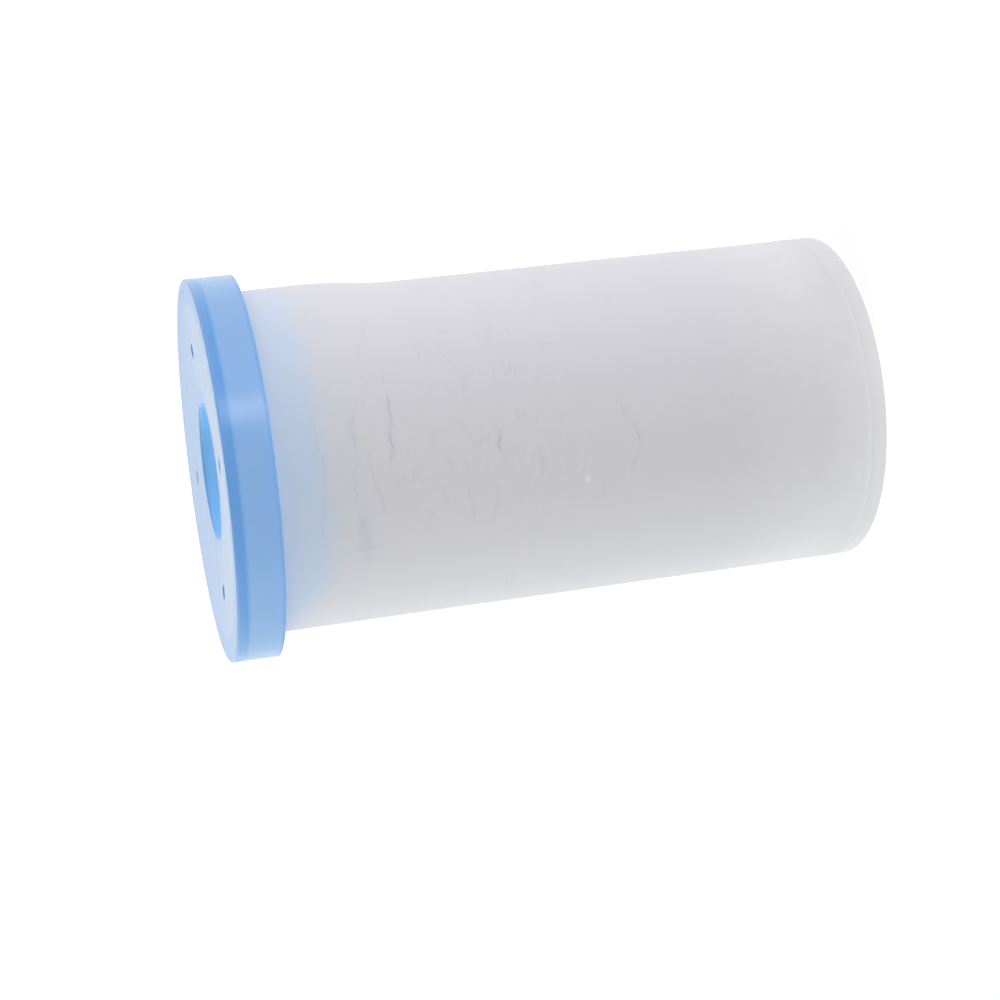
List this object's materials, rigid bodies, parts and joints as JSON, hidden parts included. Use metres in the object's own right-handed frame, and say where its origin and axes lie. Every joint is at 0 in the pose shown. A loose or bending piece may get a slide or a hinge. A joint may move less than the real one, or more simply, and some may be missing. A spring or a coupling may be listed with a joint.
{
  "type": "water filter cartridge",
  "caption": "Round drop-in water filter cartridge: white cloth-wrapped media closed by a flush white disc, with a wider translucent blue cast end cap and a central outlet bore.",
  "frame": {"origin": "centre of the closed end's face, which the cartridge stands on", "axes": "+Z along the cartridge's axis from the closed end to the outlet; +X towards the small dimple in the rim of the end cap's face, within 2 degrees; the wrap's lap seam is on the +Y side"},
  "size_m": [0.073, 0.073, 0.125],
  "materials": {
    "blue_resin": "translucent, smooth, soft sheen",
    "white_disc": "satin",
    "hot_melt": "translucent, waxy",
    "white_core": "satin",
    "liner_cloth": "thin non-woven",
    "carbon": "dull, finely granular",
    "barrier_paper": "dense, uncoated",
    "white_felt": "thick felt",
    "white_wrap": "smooth matte non-woven, slightly translucent"
  },
  "bodies": {
    "root": {"outlet_end_cap": "blue_resin", "closed_end_disc": "white_disc", "closed_end_bond": "hot_melt", "core_tube": "white_core", "core_liner": "liner_cloth", "carbon_block": "carbon", "barrier_layer": "barrier_paper", "prefilter_felt": "white_felt", "outer_wrap": "white_wrap", "wrap_seam_bead": "hot_melt"}
  },
  "joints": []
}
